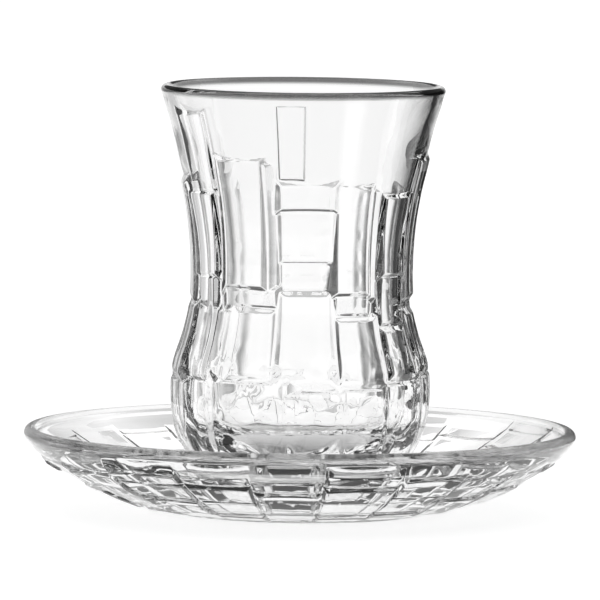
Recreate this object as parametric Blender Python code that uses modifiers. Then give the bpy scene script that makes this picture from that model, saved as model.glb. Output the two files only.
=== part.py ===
"""A clear pressed-glass tea glass, slim at the waist, standing in its own pressed-glass saucer.

Both pieces are smooth inside. Outside they are covered in raised flat blocks of many sizes,
laid in upright rows like rough masonry, each with sloped sides.
Lengths are in metres and angles in degrees. Z is up, the front faces -Y, and an angle
counts from the front towards +X. The origin is the middle of the saucer's foot, on the table.
"""
import math
import random

import bmesh
import bpy

# The saucer: a dish on a flat foot, with a round rim
SAUCER_RADIUS = 0.0631
SAUCER_HEIGHT = 0.0188
SAUCER_FOOT_RADIUS = 0.0305
SAUCER_WELL_RADIUS = 0.0250
SAUCER_WELL_Z = 0.0050
SAUCER_DISH_POWER = 1.8
SAUCER_RIM_THICKNESS = 0.0030
# Its underside rises outside the foot as a power of the distance, and the ground between the
# blocks lies a little higher, from a short way outside the foot
SAUCER_UNDERSIDE_RISE = 0.0142
SAUCER_UNDERSIDE_REACH = 0.0321
SAUCER_UNDERSIDE_POWER = 1.6
SAUCER_GROUND_LIFT = 0.0007
SAUCER_LIFT_FADE = 0.0030

# The glass, with heights above its own foot, which stands just clear of the saucer's well
GAP = 0.0003
GLASS_FOOT_Z = SAUCER_WELL_Z + GAP
GLASS_FOOT_RADIUS = 0.0200
GLASS_PUNT_RADIUS = 0.0150
GLASS_PUNT_DEPTH = 0.0008
GLASS_HEIGHT = 0.0920
GLASS_LIP_RADIUS = 0.0325
GLASS_LIP_THICKNESS = 0.0024
# Height and radius of the ground between the blocks: foot, bulb, waist, then the flare of the mouth
GLASS_WALL = (
    (0.0008, 0.0204),
    (0.0080, 0.0249),
    (0.0140, 0.0275),
    (0.0210, 0.0283),
    (0.0275, 0.0278),
    (0.0350, 0.0255),
    (0.0420, 0.0241),
    (0.0510, 0.0240),
    (0.0600, 0.0248),
    (0.0680, 0.0263),
    (0.0740, 0.0279),
    (0.0810, 0.0296),
    (0.0870, 0.0314),
    (0.0895, 0.0321),
)
# Height and radius of the smooth hollow above its rounded floor
HOLLOW_WALL = (
    (0.0090, 0.0214),
    (0.0170, 0.0240),
    (0.0270, 0.0243),
    (0.0350, 0.0228),
    (0.0430, 0.0212),
    (0.0530, 0.0212),
    (0.0660, 0.0232),
    (0.0780, 0.0262),
    (0.0897, 0.0298),
)
HOLLOW_FLOOR = 0.0085
HOLLOW_ROUNDED_TO = 0.0170

# How finely the two sections are divided, and their round stretches in degrees
GLASS_TURNING_STEPS = 48
SAUCER_TURNING_STEPS = 64
HOLLOW_FLOOR_ARC = (15, 75)
HOLLOW_FLOOR_STEPS = 4
HOLLOW_STEPS = 9
WALL_STEPS = 18
LIP_ARC = (165, -15)
SAUCER_RIM_ARC = (150, -40)
EDGE_STEPS = 6
DISH_STEPS = 8
UNDERSIDE_STEPS = 9
SLOPE_STEP = 0.00001
MERGE_DISTANCE = 0.00001
SHARP_ANGLE = 30

# Every block starts inside the wall, its sides lean in by SIDE_SLOPE for each millimetre that they
# rise, and its face stays clear of the joint round it
BURIED = 0.0008
SIDE_SLOPE = 0.55
FACE_INSET = 0.00022
BLOCK_LEVEL_SPACING = 0.0055

# The front's blocks. Each one: left angle, right angle, top and bottom height in mm above the foot,
# then how far the middle of its face stands out of the ground at its top and at its bottom in mm,
# and how much more it stands out at its left side than at its right
FOOT_END = 2.5
CROWN_BLOCKS = (
    (-66, -47, 86.6, 68.5, 0.3, 0.45, 0),
    (-11, 1, 89.0, 72.0, 0.35, 0.45, 0),
)
UPPER_BLOCKS = (
    (-101, -72, 70.4, 42.8, 0.9, 1.3, 0),
    (-72, -49, 68.5, 49.2, 0.6, 1.1, 0),
    (-66, -50.5, 49.2, 26.0, 1.3, 0.9, 0),
    (-50.5, -37.5, 41.8, 26.0, 0.4, 0.4, 0),
    (-43, -19, 76.6, 47.2, 0.3, 1.6, 0),
    (-19, -11, 75.8, 46.0, 0.3, 1.1, 0.9),
    (-43, -12.5, 47.2, 42.6, 0.9, 0.3, 0),
    (-11, 16.5, 71.2, 65.3, 0.4, 1.0, 0),
    (-11, 16.5, 65.3, 53.1, 0.5, 0.5, 0),
    (-11, 16.5, 53.1, 46.6, 0.2, 0.15, 0),
    (17, 37, 70.8, 45.8, 0.3, 1.7, 0),
    (37, 43.5, 69.6, 44.5, 0.4, 1.2, 0.9),
    (17, 38, 45.8, 40.8, 1.1, 0.4, 0),
    (44.5, 66, 68.1, 49.7, 0.5, 1.5, 0),
    (44.5, 66, 49.7, 38.2, 1.1, 0.6, 0),
    (67, 91, 76.0, 44.0, 0.3, 1.3, 0),
)
BULB_BLOCKS = (
    (-101, -66, 42.8, 25.0, 1.1, 1.0, 0),
    (-37.5, -12, 42.6, 26.4, 0.9, 0.7, 0),
    (-12, 16.5, 46.6, 25.0, 1.0, 1.0, 0),
    (16.5, 43.5, 40.8, 24.7, 0.8, 0.8, 0),
    (43.5, 66.5, 38.2, 26.0, 0.9, 1.1, 0),
    (66.5, 91, 41.4, 26.6, 1.0, 1.3, 0),
)
FOOT_BLOCKS = (
    (-97, -62, 25.0, FOOT_END, 0.5, 0.3, 0),
    (-62, -43, 26.0, FOOT_END, 0.3, 0.4, 0),
    (-43, -5.5, 26.2, FOOT_END, 0.2, 0.3, 0),
    (-5.5, 21, 24.4, FOOT_END, 0.3, 0.4, 0),
    (21, 42, 24.7, FOOT_END, 0.2, 0.4, 0),
    (42, 69, 25.6, FOOT_END, 0.6, 0.4, 0),
    (69, 92, 26.6, FOOT_END, 1.0, 0.5, 0),
)
# Round the back the same masonry goes on: the joints between its upright rows, for the wall above
# the foot and for the foot, the heights in mm that a row may be divided at, and the least and most
# that a face stands out at its top, then how much more it may stand out at its bottom
BACK_JOINTS = (91, 114, 137, 163.5, 191, 223, 259)
BACK_FOOT_JOINTS = (92, 111, 138, 185.5, 223, 263)
BACK_TOPS = (69.5, 67.5, 64.0)
BACK_MIDDLES = (54.5, 52.0, 49.5)
BACK_WAISTS = (45.5, 43.0, 41.0)
BACK_FEET = (15.5, 14.5, 13.5)
BACK_RISES = ((0.2, 0.5), (0.3, 0.7), (0.4, 0.8))
BACK_RISE_MORE = 0.3
BACK_FOOT_RISES = (0.4, 0.7)
BACK_FOOT_LAST_RISE = 0.4
MASON_SEED = 12

# The saucer's blocks: the joints between its rows that run from rim to foot, the distances from the
# middle in mm that a row may start, be divided and end at, and how far shallow and deep faces stand out
SAUCER_JOINTS = (
    -27, -11, 5.5, 23, 39, 55, 72, 89, 107, 126, 144,
    161, 178, 195, 213, 228, 245, 261, 278, 296, 314, 333,
)
SAUCER_STARTS = (60.2, 59.2, 58.0)
SAUCER_DIVISIONS = ((49.0, 38.5), (53.5, 44.0, 36.0), (56.0, 49.0, 40.0), (51.5, 42.0))
SAUCER_LAST = 32.5
SAUCER_LAST_RISE = 0.25
SAUCER_SHALLOW_RISES = (0.15, 0.35)
SAUCER_DEEP_RISES = (0.6, 0.85)

# The material
GLASS_COLOUR = (0.97, 0.98, 0.98, 1)
GLASS_ROUGHNESS = 0.02
GLASS_IOR = 1.5


def mm(value):
    """Millimetres as metres, for the layouts above."""
    return value * 0.001


def slope_of(curve, x):
    """Slope of a curve at x."""
    return (curve(x + SLOPE_STEP) - curve(x - SLOPE_STEP)) / (2 * SLOPE_STEP)


def curve_through(points):
    """A smooth curve through the points, as a function of their first coordinate."""
    xs = [x for x, _ in points]
    ys = [y for _, y in points]
    last = len(xs) - 1

    def slope_at(i):
        low = max(i - 1, 0)
        high = min(i + 1, last)
        return (ys[high] - ys[low]) / (xs[high] - xs[low])

    slopes = [slope_at(i) for i in range(len(xs))]

    def value(x):
        i = 0
        while i < last - 1 and x > xs[i + 1]:
            i += 1
        width = xs[i + 1] - xs[i]
        t = (x - xs[i]) / width
        rise = (3 - 2 * t) * t * t
        start = t * (1 - t) ** 2 * width * slopes[i]
        end = t * t * (t - 1) * width * slopes[i + 1]
        return ys[i] * (1 - rise) + ys[i + 1] * rise + start + end

    return value


glass_radius = curve_through(GLASS_WALL)
hollow_radius = curve_through(HOLLOW_WALL)


def glass_wall(height):
    """Radius and Z of the glass's ground at a height above its foot, and the outward direction."""
    slope = slope_of(glass_radius, height)
    size = math.hypot(1, slope)
    return (glass_radius(height), GLASS_FOOT_Z + height), (1 / size, -slope / size)


def saucer_ground(radius):
    """Z of the saucer's underside between its blocks, at a distance from its middle."""
    outside = radius - SAUCER_FOOT_RADIUS
    rise = SAUCER_UNDERSIDE_RISE * (max(outside, 0) / SAUCER_UNDERSIDE_REACH) ** SAUCER_UNDERSIDE_POWER
    return rise + SAUCER_GROUND_LIFT * min(outside / SAUCER_LIFT_FADE, 1)


def saucer_wall(radius):
    """Radius and Z of the saucer's underside at a distance, and the outward direction there."""
    slope = slope_of(saucer_ground, radius)
    size = math.hypot(1, slope)
    return (radius, saucer_ground(radius)), (slope / size, -1 / size)


def spaced(start, end, steps):
    """Evenly spaced values from start to end, both included."""
    return [start + (end - start) * i / steps for i in range(steps + 1)]


def arc(centre, radius, ends):
    """Points of a round edge of a section between two angles, as (radius, height)."""
    angles = [math.radians(angle) for angle in spaced(*ends, EDGE_STEPS)]
    return [(centre[0] + radius * math.cos(a), centre[1] + radius * math.sin(a)) for a in angles]


def glass_profile():
    """Half of the glass's section, from the middle of the hollow's floor over the lip to the foot."""
    lip_radius = GLASS_LIP_THICKNESS / 2
    lip_centre = (GLASS_LIP_RADIUS - lip_radius, GLASS_HEIGHT - lip_radius)
    hollow_end = HOLLOW_WALL[-1][0]
    wall_start = GLASS_WALL[0][0]
    wall_end = GLASS_WALL[-1][0]
    points = [(0, HOLLOW_FLOOR)]
    for angle in spaced(*HOLLOW_FLOOR_ARC, HOLLOW_FLOOR_STEPS):
        turn = math.radians(angle)
        height = HOLLOW_FLOOR + (HOLLOW_ROUNDED_TO - HOLLOW_FLOOR) * (1 - math.cos(turn))
        points.append((hollow_radius(height) * math.sin(turn), height))
    points += [(hollow_radius(h), h) for h in spaced(HOLLOW_ROUNDED_TO, hollow_end, HOLLOW_STEPS)]
    points += arc(lip_centre, lip_radius, LIP_ARC)
    points += [(glass_radius(h), h) for h in spaced(wall_end, wall_start, WALL_STEPS)]
    points += [(GLASS_FOOT_RADIUS, 0), (GLASS_PUNT_RADIUS, 0)]
    points += [(GLASS_PUNT_RADIUS - GLASS_PUNT_DEPTH, GLASS_PUNT_DEPTH), (0, GLASS_PUNT_DEPTH)]
    return [(radius, GLASS_FOOT_Z + height) for radius, height in points]


def saucer_profile():
    """Half of the saucer's section, from the middle of its well over the rim to the foot."""
    rim_radius = SAUCER_RIM_THICKNESS / 2
    rim_centre = (SAUCER_RADIUS - rim_radius, SAUCER_HEIGHT - rim_radius)
    dish_end = SAUCER_RADIUS - SAUCER_RIM_THICKNESS
    dish_rise = SAUCER_HEIGHT - rim_radius - SAUCER_WELL_Z
    points = [(0, SAUCER_WELL_Z), (SAUCER_WELL_RADIUS, SAUCER_WELL_Z)]
    for radius in spaced(SAUCER_WELL_RADIUS, dish_end, DISH_STEPS)[1:]:
        out = (radius - SAUCER_WELL_RADIUS) / (dish_end - SAUCER_WELL_RADIUS)
        points.append((radius, SAUCER_WELL_Z + dish_rise * out ** SAUCER_DISH_POWER))
    points += arc(rim_centre, rim_radius, SAUCER_RIM_ARC)
    radii = spaced(mm(SAUCER_STARTS[0]), SAUCER_FOOT_RADIUS, UNDERSIDE_STEPS)
    points += [(radius, saucer_ground(radius)) for radius in radii]
    points.append((0, 0))
    return points


def make_object(name, mesh, collection, material):
    """An object of a mesh, in a collection, with its material."""
    obj = bpy.data.objects.new(name, mesh)
    collection.objects.link(obj)
    mesh.materials.append(material)
    return obj


def turned(name, profile, steps, collection, material):
    """A body turned round Z from half of its section."""
    mesh = bpy.data.meshes.new(name)
    points = [(radius, 0, height) for radius, height in profile]
    mesh.from_pydata(points, [(i, i + 1) for i in range(len(points) - 1)], [])
    body = make_object(name, mesh, collection, material)
    screw = body.modifiers.new("turning", "SCREW")
    screw.steps = steps
    screw.render_steps = steps
    screw.use_merge_vertices = True
    screw.merge_threshold = MERGE_DISTANCE
    return body


def block_mesh(wall, block):
    """One raised block: a cube divided along its length and bent to lie on a wall.

    wall gives the ground and the outward direction at a coordinate that the block runs along.
    The face is flat from side to side, and the base reaches just under the round ground."""
    left, right, start, end, rise_start, rise_end, lean = block
    middle = math.radians((left + right) / 2)
    half = math.radians((right - left) / 2)
    levels = max(round(abs(end - start) / BLOCK_LEVEL_SPACING), 1)
    way = 1 if end > start else -1

    bm = bmesh.new()
    bmesh.ops.create_cube(bm, size=1)
    along = [edge for edge in bm.edges if edge.verts[0].co.z != edge.verts[1].co.z]
    bmesh.ops.subdivide_edges(bm, edges=along, cuts=levels - 1, use_grid_fill=True)
    for vertex in bm.verts:
        side = 2 * vertex.co.x
        on_face = vertex.co.y > 0
        share = 0.5 - vertex.co.z
        rise = rise_start + (rise_end - rise_start) * share - side * lean / 2
        spread = SIDE_SLOPE * (rise + BURIED)
        inset = FACE_INSET if on_face else FACE_INSET - spread
        coordinate = start + way * inset + (end - start - 2 * way * inset) * share
        (radius, height), (out, up) = wall(coordinate)
        bulge = out * (radius - radius * math.cos(half + spread / radius))
        lift = rise if on_face else -BURIED - bulge
        distance = radius + out * lift
        across = side * (radius * math.tan(half) - inset)
        vertex.co = (
            distance * math.sin(middle) + across * math.cos(middle),
            -distance * math.cos(middle) + across * math.sin(middle),
            height + up * lift,
        )
    bmesh.ops.recalc_face_normals(bm, faces=bm.faces)
    mesh = bpy.data.meshes.new("block")
    bm.to_mesh(mesh)
    bm.free()
    return mesh


def scaled(block):
    """A layout's block with its lengths in metres."""
    return block[:2] + tuple(mm(value) for value in block[2:])


def back_blocks():
    """The blocks that the photographed side doesn't show, in the same style."""
    mason = random.Random(MASON_SEED)
    blocks = []
    for left, right in zip(BACK_JOINTS, BACK_JOINTS[1:]):
        edges = [mason.choice(heights) for heights in (BACK_TOPS, BACK_MIDDLES, BACK_WAISTS, BACK_FEET)]
        for top, bottom, (least, most) in zip(edges, edges[1:], BACK_RISES):
            rise = mason.uniform(least, most)
            blocks.append((left, right, top, bottom, rise, rise + mason.uniform(0, BACK_RISE_MORE), 0))
    for left, right in zip(BACK_FOOT_JOINTS, BACK_FOOT_JOINTS[1:]):
        top = mason.uniform(BACK_FEET[-1], BACK_FEET[0])
        rise = mason.uniform(*BACK_FOOT_RISES)
        blocks.append((left, right, top, FOOT_END, rise, BACK_FOOT_LAST_RISE, 0))
    return blocks


def saucer_blocks():
    """The blocks of the saucer's underside, in rows that run from its rim to its foot."""
    mason = random.Random(MASON_SEED)
    blocks = []
    for left, right in zip(SAUCER_JOINTS, SAUCER_JOINTS[1:]):
        edges = (mason.choice(SAUCER_STARTS), *mason.choice(SAUCER_DIVISIONS), SAUCER_LAST)
        deep = mason.random() < 0.5
        for outer, inner in zip(edges, edges[1:]):
            low, high = SAUCER_DEEP_RISES if deep else SAUCER_SHALLOW_RISES
            end = SAUCER_LAST_RISE if inner == SAUCER_LAST else mason.uniform(low, high)
            blocks.append((left, right, outer, inner, mason.uniform(low, high), end, 0))
            deep = not deep
    return blocks


def join_blocks(body, wall, blocks, material):
    """Joins blocks to a body with one Boolean union, applied, and removes their objects."""
    pile = bpy.data.collections.new("blocks of " + body.name)
    bpy.context.scene.collection.children.link(pile)
    for block in blocks:
        piece = make_object("block", block_mesh(wall, scaled(block)), pile, material)
        piece.hide_render = True
        piece.display_type = "WIRE"
    join = body.modifiers.new("blocks", "BOOLEAN")
    join.operation = "UNION"
    join.operand_type = "COLLECTION"
    join.collection = pile
    join.solver = "EXACT"
    bpy.context.view_layer.update()
    joined = bpy.data.meshes.new_from_object(body.evaluated_get(bpy.context.evaluated_depsgraph_get()))
    body.modifiers.clear()
    body.data = joined
    for piece in list(pile.objects):
        bpy.data.objects.remove(piece)
    bpy.data.collections.remove(pile)
    joined.shade_smooth()
    joined.set_sharp_from_angle(angle=math.radians(SHARP_ANGLE))


def clear_glass():
    """Colourless pressed glass."""
    material = bpy.data.materials.new("clear pressed glass")
    material.use_nodes = True
    shader = material.node_tree.nodes["Principled BSDF"]
    shader.inputs["Base Color"].default_value = GLASS_COLOUR
    shader.inputs["Roughness"].default_value = GLASS_ROUGHNESS
    shader.inputs["Metallic"].default_value = 0
    shader.inputs["IOR"].default_value = GLASS_IOR
    shader.inputs["Transmission Weight"].default_value = 1
    return material


for old in list(bpy.data.objects):
    bpy.data.objects.remove(old)

tea_set = bpy.data.collections.new("tea glass and saucer")
bpy.context.scene.collection.children.link(tea_set)
glass_material = clear_glass()

saucer = turned("saucer", saucer_profile(), SAUCER_TURNING_STEPS, tea_set, glass_material)
join_blocks(saucer, saucer_wall, saucer_blocks(), glass_material)

tea_glass = turned("tea_glass", glass_profile(), GLASS_TURNING_STEPS, tea_set, glass_material)
glass_blocks = [*CROWN_BLOCKS, *UPPER_BLOCKS, *BULB_BLOCKS, *FOOT_BLOCKS, *back_blocks()]
join_blocks(tea_glass, glass_wall, glass_blocks, glass_material)
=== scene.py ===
"""An empty pressed-glass tea glass on its own saucer, in a bright studio.

The glass and the saucer are worked out in millimetres, and the studio in metres. Angles are in degrees,
counted from the front towards +X.
"""
import math
import random

import bpy
import numpy as np
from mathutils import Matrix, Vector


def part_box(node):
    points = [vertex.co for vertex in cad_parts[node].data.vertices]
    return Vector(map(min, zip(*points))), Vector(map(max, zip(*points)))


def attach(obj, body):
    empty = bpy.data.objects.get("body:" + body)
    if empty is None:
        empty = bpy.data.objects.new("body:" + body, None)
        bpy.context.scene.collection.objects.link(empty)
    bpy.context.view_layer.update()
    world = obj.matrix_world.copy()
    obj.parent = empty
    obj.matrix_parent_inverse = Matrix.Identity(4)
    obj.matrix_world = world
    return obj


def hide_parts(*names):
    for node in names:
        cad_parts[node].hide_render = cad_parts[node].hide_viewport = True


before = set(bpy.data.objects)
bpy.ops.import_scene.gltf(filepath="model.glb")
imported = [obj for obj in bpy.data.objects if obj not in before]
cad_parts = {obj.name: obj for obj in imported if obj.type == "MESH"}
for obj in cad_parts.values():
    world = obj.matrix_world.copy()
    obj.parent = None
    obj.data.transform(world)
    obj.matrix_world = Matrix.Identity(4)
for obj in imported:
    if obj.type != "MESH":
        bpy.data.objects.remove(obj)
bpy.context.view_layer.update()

# The saucer: one piece of clear pressed glass, smooth inside, with a round rim and a flat foot. Its
# underside is covered in raised flat blocks, laid like masonry in rows from the rim to the foot. It is
# meshed as a grid whose lines crowd together at the joints, so that the blocks' edges stay crisp.
MM = 0.001
saucer_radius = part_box("saucer")[1].x / MM
saucer_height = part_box("saucer")[1].z / MM
SAUCER_FOOT_RADIUS = 30.5
SAUCER_WELL_RADIUS = 25.0
SAUCER_WELL_Z = 5.0
SAUCER_DISH_POWER = 1.8
SAUCER_RIM_THICKNESS = 3.0
SAUCER_RIM_ARC = (150, -40)
SAUCER_UNDERSIDE_RISE = 14.2
SAUCER_UNDERSIDE_REACH = 32.1
SAUCER_UNDERSIDE_POWER = 1.6
SAUCER_UNDERSIDE_START = 60.6
SAUCER_DISH_START = 25.5
SAUCER_FOOT_START = 29.0
SAUCER_GROUND_LIFT = 0.7
SAUCER_LIFT_FADE = 3.0
SAUCER_JOINTS = (
    -27, -11, 5.5, 23, 39, 55, 72, 89, 107, 126, 144,
    161, 178, 195, 213, 228, 245, 261, 278, 296, 314, 333,
)
# A row may start at any of the first radii and be divided in any of these ways, down to the last
SAUCER_STARTS = (60.2, 59.2, 58.0)
SAUCER_DIVISIONS = ((49.0, 38.5), (53.5, 44.0, 36.0), (56.0, 49.0, 40.0), (51.5, 42.0))
SAUCER_LAST = 32.5
SAUCER_LAST_RISE = 0.25
SAUCER_SHALLOW_RISES = (0.15, 0.35)
SAUCER_DEEP_RISES = (0.6, 0.85)
EVEN_ODDS = 0.5
SAUCER_RIPPLE = 0.012
SAUCER_RIPPLE_LENGTH = 4.0
RIPPLE_WAVES = 7
RIPPLE_SPREAD = (0.7, 1.5)
MASON_SEED = 12
# The blocks' sides lean out by this much for each step down, from an edge set in from the joint
SIDE_SLOPE = 1.1
FACE_INSET = 0.45
EDGE_ROUNDING = 0.35
GROOVE_ROUNDING = 0.2
BLOCK_MARGIN = 0.1
OUTSIDE_BLOCK = -2.0
# How far to either side a surface is felt for its slope, and how fast a grid's steps grow off an edge
PROBE = 0.01
GRID_GROWTH = 0.5


def spaced(start, end, steps):
    """Evenly spaced values from start to end, both included."""
    return np.linspace(start, end, steps + 1)


def graded(start, end, edges, fine, coarse, reach):
    """Values from start to end, fine steps apart within reach of an edge and growing between edges."""
    way = 1 if end > start else -1
    values = [start]
    while way * (end - values[-1]) > fine:
        clear = min(abs(values[-1] - edge) for edge in edges) - reach
        values.append(values[-1] + way * min(fine + max(clear, 0) * GRID_GROWTH, coarse))
    return np.array([*values, end])


def soft_least(a, b, rounding):
    """The smaller of two heights, with the edge where they cross rounded off."""
    share = np.clip(0.5 + (b - a) / (2 * rounding), 0, 1)
    return b + (a - b) * share - rounding * share * (1 - share)


def soft_most(a, b, rounding):
    """The larger of two heights, with the groove where they cross rounded out."""
    return -soft_least(-a, -b, rounding)


def saucer_ground(radius):
    """Height of the saucer's underside between its blocks."""
    outside = radius - SAUCER_FOOT_RADIUS
    share = np.maximum(outside, 0) / SAUCER_UNDERSIDE_REACH
    lift = SAUCER_GROUND_LIFT * np.clip(outside / SAUCER_LIFT_FADE, 0, 1)
    return SAUCER_UNDERSIDE_RISE * share ** SAUCER_UNDERSIDE_POWER + lift


def saucer_blocks():
    """The blocks: left and right angle, outer and inner radius, and rise at each."""
    mason = random.Random(MASON_SEED)
    blocks = []
    for left, right in zip(SAUCER_JOINTS, SAUCER_JOINTS[1:]):
        edges = (mason.choice(SAUCER_STARTS), *mason.choice(SAUCER_DIVISIONS), SAUCER_LAST)
        deep = mason.random() < EVEN_ODDS
        for outer, inner in zip(edges, edges[1:]):
            low, high = SAUCER_DEEP_RISES if deep else SAUCER_SHALLOW_RISES
            end = SAUCER_LAST_RISE if inner == SAUCER_LAST else mason.uniform(low, high)
            blocks.append((left, right, outer, inner, mason.uniform(low, high), end))
            deep = not deep
    return blocks


def turn_from(angle, left, right):
    """Angles in radians from the middle of a block, and half its width."""
    turn = (angle - (left + right) / 2 + 180) % 360 - 180
    return np.radians(turn), math.radians((right - left) / 2)


def ripple(along, across, length):
    """A gentle waviness between about -1 and 1, as the mould leaves it in cooling glass."""
    wind = random.Random(MASON_SEED)
    total = 0
    for _ in range(RIPPLE_WAVES):
        heading = wind.uniform(0, math.pi)
        pace = 2 * math.pi / (length * wind.uniform(*RIPPLE_SPREAD))
        phase = wind.uniform(0, 2 * math.pi)
        total = total + np.sin(pace * (along * math.cos(heading) + across * math.sin(heading)) + phase)
    return total / math.sqrt(RIPPLE_WAVES)


def saucer_lift(angle, radius):
    """How far the blocks stand out of the saucer's underside."""
    lift = np.zeros_like(radius)
    for left, right, outer, inner, rise_outer, rise_inner in saucer_blocks():
        turn, half = turn_from(angle, left, right)
        along = radius * np.cos(turn)
        across = radius * np.abs(np.sin(turn))
        share = np.clip((outer - along) / (outer - inner), 0, 1)
        rise = rise_outer + (rise_inner - rise_outer) * share
        face = rise + saucer_ground(radius) - saucer_ground(along)
        sides = rise + (along * math.tan(half) - FACE_INSET - across) / SIDE_SLOPE
        ends = rise + (np.minimum(outer - along, along - inner) - FACE_INSET) / SIDE_SLOPE
        block = soft_least(soft_least(face, sides, EDGE_ROUNDING), ends, EDGE_ROUNDING)
        block = np.where(np.abs(turn) < half + BLOCK_MARGIN, block, OUTSIDE_BLOCK)
        lift = soft_most(lift, block, GROOVE_ROUNDING)
    turn = np.radians(angle)
    waves = ripple(radius * np.sin(turn), radius * np.cos(turn), SAUCER_RIPPLE_LENGTH)
    clear_of_rim = np.clip((saucer_radius - SAUCER_RIM_THICKNESS - radius) / SAUCER_LIFT_FADE, 0, 1)
    return lift + SAUCER_RIPPLE * waves * clear_of_rim


def saucer_underside(angle, radius):
    """Points of the saucer's underside with its blocks."""
    slope = (saucer_ground(radius + PROBE) - saucer_ground(radius - PROBE)) / (2 * PROBE)
    size = np.hypot(1, slope)
    lift = saucer_lift(angle, radius)
    return radius + slope / size * lift, np.maximum(saucer_ground(radius) - lift / size, 0)


def saucer_inside(angle, radius):
    """Points of the saucer's smooth inside: a flat well and a dish that steepens to the rim."""
    dish_end = saucer_radius - SAUCER_RIM_THICKNESS
    out = np.clip((radius - SAUCER_WELL_RADIUS) / (dish_end - SAUCER_WELL_RADIUS), 0, 1)
    rise = saucer_height - SAUCER_RIM_THICKNESS / 2 - SAUCER_WELL_Z
    return radius, SAUCER_WELL_Z + rise * out ** SAUCER_DISH_POWER


def round_edge(centre_radius, centre_height, size):
    """A round edge, as a function of the angle round its own middle."""
    def edge(angle, turn):
        turn = np.radians(turn)
        return centre_radius + size * np.cos(turn), centre_height + size * np.sin(turn)
    return edge


def flat_at(height):
    """A level surface, as a function of the distance from the middle."""
    def level(angle, radius):
        return radius, height + 0 * radius
    return level


def points_of(surface, angle, along):
    """Points in metres of a surface that gives a radius and a height at an angle and a coordinate."""
    radius, height = surface(angle, along)
    turn = np.radians(angle)
    return np.stack((radius * np.sin(turn), -radius * np.cos(turn), height), -1) * MM


def pressed_solid(name, angles, bands):
    """A closed mesh of rings of points, from the middle of the inside to the middle of the foot.

    Each band is a surface and the coordinates of its rings. The normals are those of the surfaces
    themselves, so that flat faces stay flat right up to their edges."""
    rings = []
    normals = []
    for surface, coordinates in bands:
        along, angle = np.meshgrid(coordinates, angles, indexing="ij")
        way = np.sign(coordinates[-1] - coordinates[0])
        across = points_of(surface, angle + PROBE, along) - points_of(surface, angle - PROBE, along)
        down = points_of(surface, angle, along + PROBE) - points_of(surface, angle, along - PROBE)
        rings.append(points_of(surface, angle, along))
        normals.append(np.cross(way * down, across))
    rings = np.concatenate(rings)
    normals = np.concatenate(normals)
    normals /= np.linalg.norm(normals, axis=-1, keepdims=True)
    count, around = rings.shape[:2]
    first = [0, 0, rings[0, 0, 2]]
    last = [0, 0, rings[-1, 0, 2]]
    points = np.concatenate(([first], rings.reshape(-1, 3), [last]))
    point_normals = np.concatenate(([[0, 0, 1]], normals.reshape(-1, 3), [[0, 0, -1]]))
    here = np.arange(around).tolist()
    after = [*here[1:], 0]
    faces = [(0, 1 + a, 1 + b) for a, b in zip(here, after)]
    for ring in range(count - 1):
        top = 1 + ring * around
        low = top + around
        faces += [(top + a, low + a, low + b, top + b) for a, b in zip(here, after)]
    bottom = 1 + (count - 1) * around
    faces += [(bottom + a, bottom + around, bottom + b) for a, b in zip(here, after)]
    mesh = bpy.data.meshes.new(name)
    mesh.from_pydata(points.tolist(), [], faces)
    mesh.shade_smooth()
    mesh.normals_split_custom_set_from_vertices(point_normals.tolist())
    solid = bpy.data.objects.new(name, mesh)
    bpy.context.scene.collection.objects.link(solid)
    return solid


# How finely the grid is divided: fine and coarse spacing, and how far round an edge it stays fine
SAUCER_ANGLE_GRID = (0.3, 1.6, 1.3)
SAUCER_UNDERSIDE_GRID = (0.25, 1.0, 0.8)
SAUCER_WELL_RINGS = 6
SAUCER_DISH_RINGS = 30
RIM_RINGS = 16
FOOT_RINGS = 5
MIDDLE = 1.0
rim_radius = SAUCER_RIM_THICKNESS / 2
saucer_rim = round_edge(saucer_radius - rim_radius, saucer_height - rim_radius, rim_radius)
saucer_dish_end = saucer_radius - SAUCER_RIM_THICKNESS
saucer_edges = [*SAUCER_STARTS, *(radius for row in SAUCER_DIVISIONS for radius in row), SAUCER_LAST]
underside_rings = graded(
    SAUCER_UNDERSIDE_START, SAUCER_FOOT_RADIUS, saucer_edges, *SAUCER_UNDERSIDE_GRID,
)
saucer_start = SAUCER_JOINTS[0]
saucer_glass = pressed_solid(
    "saucer_glass",
    graded(saucer_start, saucer_start + 360, SAUCER_JOINTS, *SAUCER_ANGLE_GRID)[:-1],
    (
        (saucer_inside, spaced(MIDDLE, SAUCER_WELL_RADIUS, SAUCER_WELL_RINGS)),
        (saucer_inside, spaced(SAUCER_DISH_START, saucer_dish_end, SAUCER_DISH_RINGS)),
        (saucer_rim, spaced(*SAUCER_RIM_ARC, RIM_RINGS)),
        (saucer_underside, underside_rings),
        (flat_at(0), spaced(SAUCER_FOOT_START, MIDDLE, FOOT_RINGS)),
    ),
)

GLASS_IOR = 1.5
SKIN_AND_SHADE_SOCKETS = (
    "Rim Bottom", "Rim Top", "Rim Tint And Painted Shade", "Rim Haze", "Scuff", "Chilled Below", "Low Chill", "Chill",
)
# The chilled ripple that the mould leaves in the skin fades out over the top share of its height
CHILL_SCALE = 100
CHILL_DETAIL = 0.5
CHILL_DISTORTION = 1.0
CHILL_FADE = 0.7
SCUFF_SCALE = 60
SCUFF_DETAIL = 4
SCUFF_FROM = 0.5
SCUFF_TO = 0.8


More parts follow.
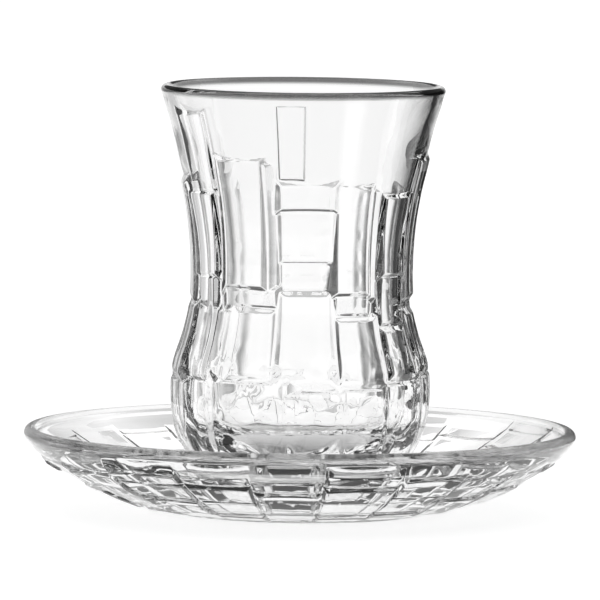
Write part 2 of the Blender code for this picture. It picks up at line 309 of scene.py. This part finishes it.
def pressed_glass_skin_and_shade():
    """The skin of pressed glass and a painted rim shade: a greyer, softer rim, whose grey is painted
    shade on the tea glass and a slight tint on the saucer, faint scuffs, and a ripple, stronger low
    down.
    """
    group = bpy.data.node_groups.new("pressed glass skin and painted rim shade", "ShaderNodeTree")
    for socket in SKIN_AND_SHADE_SOCKETS:
        group.interface.new_socket(socket, in_out="INPUT", socket_type="NodeSocketFloat")
    group.interface.new_socket("Color", in_out="OUTPUT", socket_type="NodeSocketColor")
    group.interface.new_socket("Roughness", in_out="OUTPUT", socket_type="NodeSocketFloat")
    group.interface.new_socket("Normal", in_out="OUTPUT", socket_type="NodeSocketVector")
    link = group.links.new
    given = group.nodes.new("NodeGroupInput").outputs
    result = group.nodes.new("NodeGroupOutput").inputs
    place = group.nodes.new("ShaderNodeTexCoord").outputs["Object"]
    parts = group.nodes.new("ShaderNodeSeparateXYZ")
    link(place, parts.inputs["Vector"])

    def by_height(bottom, top):
        """A value that changes smoothly from one height to another."""
        change = group.nodes.new("ShaderNodeMapRange")
        change.interpolation_type = "SMOOTHSTEP"
        link(parts.outputs["Z"], change.inputs["Value"])
        link(bottom, change.inputs["From Min"])
        link(top, change.inputs["From Max"])
        return change

    # The rim's colour: on the tea glass a painted shade for the dark ring that the lip's rounding
    # refracts, on the saucer a slight grey tint
    rim = by_height(given["Rim Bottom"], given["Rim Top"])
    rim.inputs["To Min"].default_value = 1
    link(given["Rim Tint And Painted Shade"], rim.inputs["To Max"])
    link(rim.outputs["Result"], result["Color"])

    scuffs = group.nodes.new("ShaderNodeTexNoise")
    link(place, scuffs.inputs["Vector"])
    scuffs.inputs["Scale"].default_value = SCUFF_SCALE
    scuffs.inputs["Detail"].default_value = SCUFF_DETAIL
    roughness = group.nodes.new("ShaderNodeMapRange")
    link(scuffs.outputs["Fac"], roughness.inputs["Value"])
    roughness.inputs["From Min"].default_value = SCUFF_FROM
    roughness.inputs["From Max"].default_value = SCUFF_TO
    link(given["Scuff"], roughness.inputs["To Max"])
    haze = by_height(given["Rim Bottom"], given["Rim Top"])
    link(roughness.outputs["Result"], haze.inputs["To Min"])
    link(given["Rim Haze"], haze.inputs["To Max"])
    link(haze.outputs["Result"], result["Roughness"])

    fade_from = group.nodes.new("ShaderNodeMath")
    fade_from.operation = "MULTIPLY"
    link(given["Chilled Below"], fade_from.inputs[0])
    fade_from.inputs[1].default_value = CHILL_FADE
    depth = by_height(fade_from.outputs["Value"], given["Chilled Below"])
    link(given["Low Chill"], depth.inputs["To Min"])
    link(given["Chill"], depth.inputs["To Max"])
    chill = group.nodes.new("ShaderNodeTexNoise")
    link(place, chill.inputs["Vector"])
    chill.inputs["Scale"].default_value = CHILL_SCALE
    chill.inputs["Detail"].default_value = CHILL_DETAIL
    chill.inputs["Distortion"].default_value = CHILL_DISTORTION
    bump = group.nodes.new("ShaderNodeBump")
    link(chill.outputs["Fac"], bump.inputs["Height"])
    link(depth.outputs["Result"], bump.inputs["Distance"])
    link(bump.outputs["Normal"], result["Normal"])
    return group


glass_skin_and_shade = pressed_glass_skin_and_shade()


def clear_glass(name, skin_and_shade_values):
    """Clear soda-lime glass with its own values for the skin and the painted rim shade, whose lengths
    are in metres.
    """
    material = bpy.data.materials.new(name)
    material.use_nodes = True
    tree = material.node_tree
    shader = tree.nodes["Principled BSDF"].inputs
    shader["IOR"].default_value = GLASS_IOR
    shader["Metallic"].default_value = 0
    shader["Transmission Weight"].default_value = 1
    skin = tree.nodes.new("ShaderNodeGroup")
    skin.node_tree = glass_skin_and_shade
    for socket, value in skin_and_shade_values.items():
        skin.inputs[socket].default_value = value
    tree.links.new(skin.outputs["Color"], shader["Base Color"])
    tree.links.new(skin.outputs["Roughness"], shader["Roughness"])
    tree.links.new(skin.outputs["Normal"], shader["Normal"])
    return material


saucer_glass.data.materials.append(clear_glass("saucer glass", {
    "Rim Bottom": (saucer_height - SAUCER_RIM_THICKNESS) * MM,
    "Rim Top": saucer_height * MM,
    "Rim Tint And Painted Shade": 0.92,
    "Rim Haze": 0.15,
    "Scuff": 0.01,
    "Chilled Below": SAUCER_WELL_Z * MM,
    "Low Chill": 0.00004,
    "Chill": 0.00004,
}))
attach(saucer_glass, "root")
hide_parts("saucer")

# The tea glass: one piece of the same clear glass, slim at the waist and smooth inside, with a thick
# base and a fire-polished lip. Outside it has the same raised blocks, upright and of many sizes, which
# the front half shows crisp and the worn back half of the mould shows soft.
glass_foot_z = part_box("tea_glass")[0].z / MM
glass_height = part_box("tea_glass")[1].z / MM - glass_foot_z
GLASS_FOOT_RADIUS = 20.0
GLASS_PUNT_RADIUS = 15.0
GLASS_PUNT_DEPTH = 0.8
GLASS_LIP_RADIUS = 32.5
GLASS_LIP_THICKNESS = 2.4
GLASS_LIP_ARC = (165, -15)
# The lip's painted shade, a grey in its colour for the dark ring that its rounding refracts, comes in
# between these depths below its top
GLASS_LIP_PAINTED_SHADE = (2.0, 1.0)
# Height above the foot and radius, outside between the blocks and then inside
GLASS_WALL = (
    (0.8, 20.4), (8.0, 24.9), (14.0, 27.5), (21.0, 28.3), (27.5, 27.8), (35.0, 25.5), (42.0, 24.1),
    (51.0, 24.0), (60.0, 24.8), (68.0, 26.3), (74.0, 27.9), (81.0, 29.6), (87.0, 31.4), (89.5, 32.1),
)
HOLLOW_WALL = (
    (9.0, 21.4), (17.0, 24.0), (27.0, 24.3), (35.0, 22.8), (43.0, 21.2), (53.0, 21.2), (66.0, 23.2),
    (78.0, 26.2), (89.7, 29.8),
)
HOLLOW_FLOOR = 8.5
HOLLOW_ROUNDED_TO = 17.0
FOOT_END = 2.5
# The two blocks near the lip have narrow edges, and those on the bulb have wide ones
CROWN_INSET = 0.3
CROWN_SLOPE = 0.7
SIDE_CROWN_SLOPE = 1.5
BULB_INSET = 1.3
BULB_SLOPE = 1.6
# The front blocks: left and right angle, top and bottom height, how far the face stands out at its
# top and at its bottom, and how much further it stands out on its left than on its right
CROWN_BLOCK = (-11, 1, 89.0, 72.0, 0.35, 0.45, 0)
SIDE_CROWN_BLOCK = (-66, -47, 86.6, 68.5, 0.25, 0.35, 0)
UPPER_BLOCKS = (
    (-101, -72, 70.4, 42.8, 0.9, 1.3, 0),
    (-72, -49, 68.5, 49.2, 0.6, 1.1, 0),
    (-66, -50.5, 49.2, 26.0, 1.3, 0.9, 0),
    (-50.5, -37.5, 41.8, 26.0, 0.4, 0.4, 0),
    (-43, -19, 76.6, 47.2, 0.3, 1.6, 0),
    (-19, -11, 75.8, 46.0, 0.3, 1.1, 0.9),
    (-43, -12.5, 47.2, 42.6, 0.9, 0.3, 0),
    (-11, 16.5, 71.2, 65.3, 0.4, 1.0, 0),
    (-11, 16.5, 65.3, 53.1, 0.5, 0.5, 0),
    (-11, 16.5, 53.1, 46.6, 0.2, 0.15, 0),
    (17, 37, 70.8, 45.8, 0.3, 1.7, 0),
    (37, 43.5, 69.6, 44.5, 0.4, 1.2, 0.9),
    (17, 38, 45.8, 40.8, 1.1, 0.4, 0),
    (44.5, 66, 68.1, 49.7, 0.5, 1.5, 0),
    (44.5, 66, 49.7, 38.2, 1.1, 0.6, 0),
    (67, 91, 76.0, 44.0, 0.3, 1.3, 0),
)
BULB_BLOCKS = (
    (-101, -66, 42.8, 25.0, 1.1, 1.0, 0),
    (-37.5, -12, 42.6, 26.4, 0.9, 0.7, 0),
    (-12, 16.5, 46.6, 25.0, 1.0, 1.0, 0),
    (16.5, 43.5, 40.8, 24.7, 0.8, 0.8, 0),
    (43.5, 66.5, 38.2, 26.0, 0.9, 1.1, 0),
    (66.5, 91, 41.4, 26.6, 1.0, 1.3, 0),
)
FOOT_BLOCKS = (
    (-97, -62, 25.0, FOOT_END, 0.5, 0.3, 0),
    (-62, -43, 26.0, FOOT_END, 0.3, 0.4, 0),
    (-43, -5.5, 26.2, FOOT_END, 0.2, 0.3, 0),
    (-5.5, 21, 24.4, FOOT_END, 0.3, 0.4, 0),
    (21, 42, 24.7, FOOT_END, 0.2, 0.4, 0),
    (42, 69, 25.6, FOOT_END, 0.6, 0.4, 0),
    (69, 92, 26.6, FOOT_END, 1.0, 0.5, 0),
)
# Round the back: the joints between the upright rows, and the heights that a row may be divided at
BACK_JOINTS = (91, 114, 137, 163.5, 191, 223, 259)
BACK_FOOT_JOINTS = (92, 111, 138, 185.5, 223, 263)
BACK_TOPS = (69.5, 67.5, 64.0)
BACK_MIDDLES = (54.5, 52.0, 49.5)
BACK_WAISTS = (45.5, 43.0, 41.0)
BACK_FEET = (15.5, 14.5, 13.5)
BACK_RISES = ((0.2, 0.5), (0.3, 0.7), (0.4, 0.8))
BACK_RISE_MORE = 0.3
BACK_FOOT_RISES = (0.4, 0.7)
BACK_FOOT_LAST_RISE = 0.4
# Degrees from the front between which the blocks turn soft, and how soft they become
WORN_FROM = 90
WORN_TO = 112
WORN_ROUNDING = 1.5


def curve_through(points):
    """A smooth curve through the points, as a function of their first coordinate."""
    xs, ys = np.array(points, float).T
    low = np.maximum(np.arange(len(xs)) - 1, 0)
    high = np.minimum(np.arange(len(xs)) + 1, len(xs) - 1)
    slopes = (ys[high] - ys[low]) / (xs[high] - xs[low])

    def value(x):
        i = np.clip(np.searchsorted(xs, x) - 1, 0, len(xs) - 2)
        width = xs[i + 1] - xs[i]
        t = (x - xs[i]) / width
        rise = (3 - 2 * t) * t * t
        start = t * (1 - t) ** 2 * width * slopes[i]
        end = t * t * (t - 1) * width * slopes[i + 1]
        return ys[i] * (1 - rise) + ys[i + 1] * rise + start + end

    return value


glass_radius = curve_through(GLASS_WALL)
hollow_radius = curve_through(HOLLOW_WALL)


def back_blocks():
    """The blocks round the back, in the same style as the front's."""
    mason = random.Random(MASON_SEED)
    blocks = []
    for left, right in zip(BACK_JOINTS, BACK_JOINTS[1:]):
        edges = [mason.choice(heights) for heights in (BACK_TOPS, BACK_MIDDLES, BACK_WAISTS, BACK_FEET)]
        for top, bottom, (least, most) in zip(edges, edges[1:], BACK_RISES):
            rise = mason.uniform(least, most)
            blocks.append((left, right, top, bottom, rise, rise + mason.uniform(0, BACK_RISE_MORE), 0))
    for left, right in zip(BACK_FOOT_JOINTS, BACK_FOOT_JOINTS[1:]):
        top = mason.uniform(BACK_FEET[-1], BACK_FEET[0])
        rise = mason.uniform(*BACK_FOOT_RISES)
        blocks.append((left, right, top, FOOT_END, rise, BACK_FOOT_LAST_RISE, 0))
    return blocks


# Each block with its edge's inset and its sides' slope
plain_blocks = (*UPPER_BLOCKS, *FOOT_BLOCKS, *back_blocks())
glass_blocks = [(*block, FACE_INSET, SIDE_SLOPE) for block in plain_blocks]
glass_blocks.append((*CROWN_BLOCK, CROWN_INSET, CROWN_SLOPE))
glass_blocks.append((*SIDE_CROWN_BLOCK, CROWN_INSET, SIDE_CROWN_SLOPE))
glass_blocks += [(*block, BULB_INSET, BULB_SLOPE) for block in BULB_BLOCKS]


def glass_lift(angle, height, radius):
    """How far the blocks stand out of the glass's wall, whose radius is given."""
    from_front = np.abs((angle + 180) % 360 - 180)
    worn = np.clip((from_front - WORN_FROM) / (WORN_TO - WORN_FROM), 0, 1)
    edge = EDGE_ROUNDING + (WORN_ROUNDING - EDGE_ROUNDING) * worn
    groove = GROOVE_ROUNDING + (WORN_ROUNDING - GROOVE_ROUNDING) * worn
    lift = np.zeros_like(radius)
    for left, right, top, bottom, rise_top, rise_bottom, lean, inset, slope in glass_blocks:
        turn, half = turn_from(angle, left, right)
        near = np.abs(turn) < half + BLOCK_MARGIN
        turn = np.clip(turn, -half - BLOCK_MARGIN, half + BLOCK_MARGIN)
        share = np.clip((top - height) / (top - bottom), 0, 1)
        rise = rise_top + (rise_bottom - rise_top) * share - turn / half * lean / 2
        face = (radius + rise) / np.cos(turn)
        side = radius * math.tan(half) - inset + slope * (radius + rise)
        sides = side / (np.abs(np.sin(turn)) + slope * np.cos(turn))
        clear = np.minimum(top - height, height - bottom) - inset
        ends = (radius + rise + clear / slope) / np.cos(turn)
        block = soft_least(soft_least(face, sides, edge), ends, edge) - radius
        lift = soft_most(lift, np.where(near, block, OUTSIDE_BLOCK), groove)
    return lift


def glass_outside(angle, height):
    """Points of the glass's outer wall with its blocks, at a height above its foot."""
    radius = glass_radius(height)
    slope = (glass_radius(height + PROBE) - glass_radius(height - PROBE)) / (2 * PROBE)
    size = np.hypot(1, slope)
    lift = glass_lift(angle, height, radius)
    return radius + lift / size, glass_foot_z + height - slope / size * lift


def glass_hollow(angle, height):
    """Points of the hollow's wall."""
    return hollow_radius(height), glass_foot_z + height


def glass_floor(angle, turn):
    """Points of the hollow's rounded floor, as a function of the angle up from its middle."""
    turn = np.radians(turn)
    height = HOLLOW_FLOOR + (HOLLOW_ROUNDED_TO - HOLLOW_FLOOR) * (1 - np.cos(turn))
    return hollow_radius(height) * np.sin(turn), glass_foot_z + height


# The grid's spacings as on the saucer; those round the glass are lengths at one radius
GLASS_AROUND_GRID = (0.3, 1.8, 0.7)
GLASS_WALL_GRID = (0.3, 1.2, 0.7)
GLASS_GRID_RADIUS = 27
HOLLOW_FLOOR_ARC = (4, 86)
HOLLOW_FLOOR_RINGS = 14
HOLLOW_RINGS = 40
GLASS_FOOT_RINGS = 2
lip_radius = GLASS_LIP_THICKNESS / 2
glass_top = glass_foot_z + glass_height
lip = round_edge(GLASS_LIP_RADIUS - lip_radius, glass_top - lip_radius, lip_radius)
glass_joints = sorted({angle % 360 for block in glass_blocks for angle in block[:2]})
glass_start = glass_joints[0]
glass_grid = [math.degrees(size / GLASS_GRID_RADIUS) for size in GLASS_AROUND_GRID]
glass_levels = [level for block in glass_blocks for level in block[2:4]]
punt_radius = GLASS_PUNT_RADIUS - GLASS_PUNT_DEPTH
tea_glass = pressed_solid(
    "tea_glass_body",
    graded(glass_start, glass_start + 360, [*glass_joints, glass_start + 360], *glass_grid)[:-1],
    (
        (glass_floor, spaced(*HOLLOW_FLOOR_ARC, HOLLOW_FLOOR_RINGS)),
        (glass_hollow, spaced(HOLLOW_ROUNDED_TO, HOLLOW_WALL[-1][0], HOLLOW_RINGS)),
        (lip, spaced(*GLASS_LIP_ARC, RIM_RINGS)),
        (glass_outside, graded(GLASS_WALL[-1][0], GLASS_WALL[0][0], glass_levels, *GLASS_WALL_GRID)),
        (flat_at(glass_foot_z), spaced(GLASS_FOOT_RADIUS, GLASS_PUNT_RADIUS, GLASS_FOOT_RINGS)),
        (flat_at(glass_foot_z + GLASS_PUNT_DEPTH), spaced(punt_radius, MIDDLE, FOOT_RINGS)),
    ),
)
# The lip's colour is greyed: a painted shade for the dark ring that its rounding refracts
painted_shade_from, painted_shade_to = GLASS_LIP_PAINTED_SHADE
tea_glass.data.materials.append(clear_glass("tea glass", {
    "Rim Bottom": (glass_top - painted_shade_from) * MM,
    "Rim Top": (glass_top - painted_shade_to) * MM,
    "Rim Tint And Painted Shade": 0.15,
    "Rim Haze": 0.01,
    "Scuff": 0.01,
    "Chilled Below": 0.044,
    "Low Chill": 0.0005,
    "Chill": 0.00004,
}))
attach(tea_glass, "root")
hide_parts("tea_glass")

# The studio: a pale matt table and, behind it, a low lit backdrop that is dimmer above, with soft light
# overhead and a dark room in front. Cards stand and lie round the object as in any glass photograph,
# from black to pale grey. Only the glass sees them, and they draw the dark lines in it.
TABLE_SIZE = 6.0
TABLE_DROP = 0.0002
TABLE_GREY = 0.6
TABLE_GLOW = 0.75
TABLE_ROUGHNESS = 0.9
BACKDROP_LIGHT = 1.03
# Degrees up and light, behind the object and in front of it, and where one gives way to the other
BEHIND = ((0, 1), (8, 1), (11, 0.12), (33, 0.12), (37, 1), (90, 1))
FRONT = ((0, 1), (5, 1), (9, 0.04), (50, 0.04), (60, 0.9), (90, 0.9))
FRONT_END = -0.1
BEHIND_START = 0.3
GLOSSY_BOUNCES = 8
GLASS_BOUNCES = 32

studio = bpy.context.scene
studio.view_settings.view_transform = "Standard"
studio.cycles.glossy_bounces = GLOSSY_BOUNCES
studio.cycles.transmission_bounces = GLASS_BOUNCES
studio.cycles.max_bounces = GLASS_BOUNCES
world = bpy.data.worlds.new("studio")
studio.world = world
world.use_nodes = True
room = world.node_tree
direction = room.nodes.new("ShaderNodeTexCoord").outputs["Generated"]
parts = room.nodes.new("ShaderNodeSeparateXYZ")
room.links.new(direction, parts.inputs["Vector"])


def light_by_height(stops):
    """A grey that depends on how far up a ray goes, from (degrees up, light) stops."""
    ramp = room.nodes.new("ShaderNodeValToRGB")
    room.links.new(parts.outputs["Z"], ramp.inputs["Fac"])
    while len(ramp.color_ramp.elements) < len(stops):
        ramp.color_ramp.elements.new(1)
    for element, (degrees, light) in zip(ramp.color_ramp.elements, stops):
        element.position = math.sin(math.radians(degrees))
        element.color = (light, light, light, 1)
    return ramp.outputs["Color"]


light = room.nodes.new("ShaderNodeMapRange")
room.links.new(parts.outputs["Y"], light.inputs["Value"])
light.inputs["From Min"].default_value = FRONT_END
light.inputs["From Max"].default_value = BEHIND_START
room.links.new(light_by_height(FRONT), light.inputs["To Min"])
room.links.new(light_by_height(BEHIND), light.inputs["To Max"])
background = room.nodes["Background"]
room.links.new(light.outputs["Result"], background.inputs["Color"])
background.inputs["Strength"].default_value = BACKDROP_LIGHT

table_mesh = bpy.data.meshes.new("table")
half = TABLE_SIZE / 2
table_corners = [(-half, -half, 0), (half, -half, 0), (half, half, 0), (-half, half, 0)]
table_mesh.from_pydata(table_corners, [], [(0, 1, 2, 3)])
table = bpy.data.objects.new("table", table_mesh)
studio.collection.objects.link(table)
table.location.z = -TABLE_DROP
table_paint = bpy.data.materials.new("table")
table_paint.use_nodes = True
table_shader = table_paint.node_tree.nodes["Principled BSDF"].inputs
table_shader["Base Color"].default_value = (TABLE_GREY, TABLE_GREY, TABLE_GREY, 1)
table_shader["Roughness"].default_value = TABLE_ROUGHNESS
table_shader["Emission Color"].default_value = (1, 1, 1, 1)
table_shader["Emission Strength"].default_value = TABLE_GLOW
table_mesh.materials.append(table_paint)

# Each card runs between two arcs: the distance and height of its near edge and of its far edge in
# metres, the shade of its near edge as a share of its far edge's, and the far edge's shade at angles
# along it
TALL = 0.13
LOW = 0.055
LYING = 0.0004
UNDER = -0.0001
CARD_STEPS = 48
CARDS = (
    (0.17, 0, 0.17, TALL, 1, ((98, 0.4), (106, 0.03), (146, 0.03), (153, 0.3), (160, 0.8), (168, 1))),
    (0.168, 0, 0.168, LOW, 1, ((144, 0.05), (159, 0.05), (165, 0.4), (170, 1))),
    (0.17, 0, 0.17, 0.11, 1, ((191, 1), (199, 0.92), (206, 0.82), (214, 0.6), (226, 0.6), (238, 0.85))),
    (0.168, 0, 0.168, LOW, 1, ((192, 1), (196, 0.7), (202, 0.33), (208, 0.48), (216, 0.65))),
    (0.085, LYING, 0.60, LYING, 1, ((-80, 0.1), (36, 0.1))),
    (0.085, LYING, 0.60, LYING, 1, ((54, 0.1), (80, 0.1))),
    (0.105, LYING, 0.15, LYING, 1, ((152, 1), (165, 0.6), (195, 0.6), (208, 1))),
    # A painted shadow under the saucer: a disc, dark in the middle and pale at its edge, that only the
    # glass sees
    (0, UNDER, 0.03, UNDER, 0.1, ((0, 0.9), (360, 0.9))),
    (0.35, 0.10, 0.35, 0.35, 1, ((270, 0.05), (330, 0.05))),
)
card_paint = bpy.data.materials.new("card")
card_paint.use_nodes = True
card_tree = card_paint.node_tree
card_tree.nodes.remove(card_tree.nodes["Principled BSDF"])
card_tone = card_tree.nodes.new("ShaderNodeAttribute")
card_tone.attribute_name = "tone"
card_glow = card_tree.nodes.new("ShaderNodeEmission")
card_tree.links.new(card_tone.outputs["Fac"], card_glow.inputs["Strength"])
card_tree.links.new(card_glow.outputs["Emission"], card_tree.nodes["Material Output"].inputs["Surface"])
for near, near_height, far, far_height, fade, shades in CARDS:
    angles, tones = zip(*shades)
    turns = spaced(angles[0], angles[-1], CARD_STEPS)
    points = []
    for distance, height in ((near, near_height), (far, far_height)):
        points += [(distance * math.sin(t), -distance * math.cos(t), height) for t in np.radians(turns)]
    count = len(turns)
    card_mesh = bpy.data.meshes.new("card")
    card_mesh.from_pydata(points, [], [(i, i + 1, count + i + 1, count + i) for i in range(count - 1)])
    far_tones = np.interp(turns, angles, tones)
    tone = card_mesh.attributes.new("tone", "FLOAT", "POINT")
    tone.data.foreach_set("value", np.concatenate((far_tones * fade, far_tones)))
    card_mesh.materials.append(card_paint)
    card = bpy.data.objects.new("card", card_mesh)
    studio.collection.objects.link(card)
    card.visible_camera = False
    card.visible_diffuse = False
    card.visible_shadow = False

# The camera: a long lens two metres away that looks slightly down on the front, turned a little about
# its own axis as in the photo.
CAMERA_TARGET = (-0.00028, 0, 0.0480)
CAMERA_DISTANCE = 2.07
CAMERA_PITCH = 4.73
CAMERA_ROLL = 0.6
CAMERA_LENS = 543.6
CAMERA_SENSOR = 36
pitch = math.radians(CAMERA_PITCH)
camera_data = bpy.data.cameras.new("camera")
camera_data.lens = CAMERA_LENS
camera_data.sensor_width = CAMERA_SENSOR
camera = bpy.data.objects.new("camera", camera_data)
studio.collection.objects.link(camera)
target_x, target_y, target_z = CAMERA_TARGET
camera.location = (
    target_x,
    target_y - CAMERA_DISTANCE * math.cos(pitch),
    target_z + CAMERA_DISTANCE * math.sin(pitch),
)
camera.rotation_euler = (math.radians(90) - pitch, 0, 0)
camera.rotation_euler.rotate_axis("Z", math.radians(CAMERA_ROLL))
studio.camera = camera
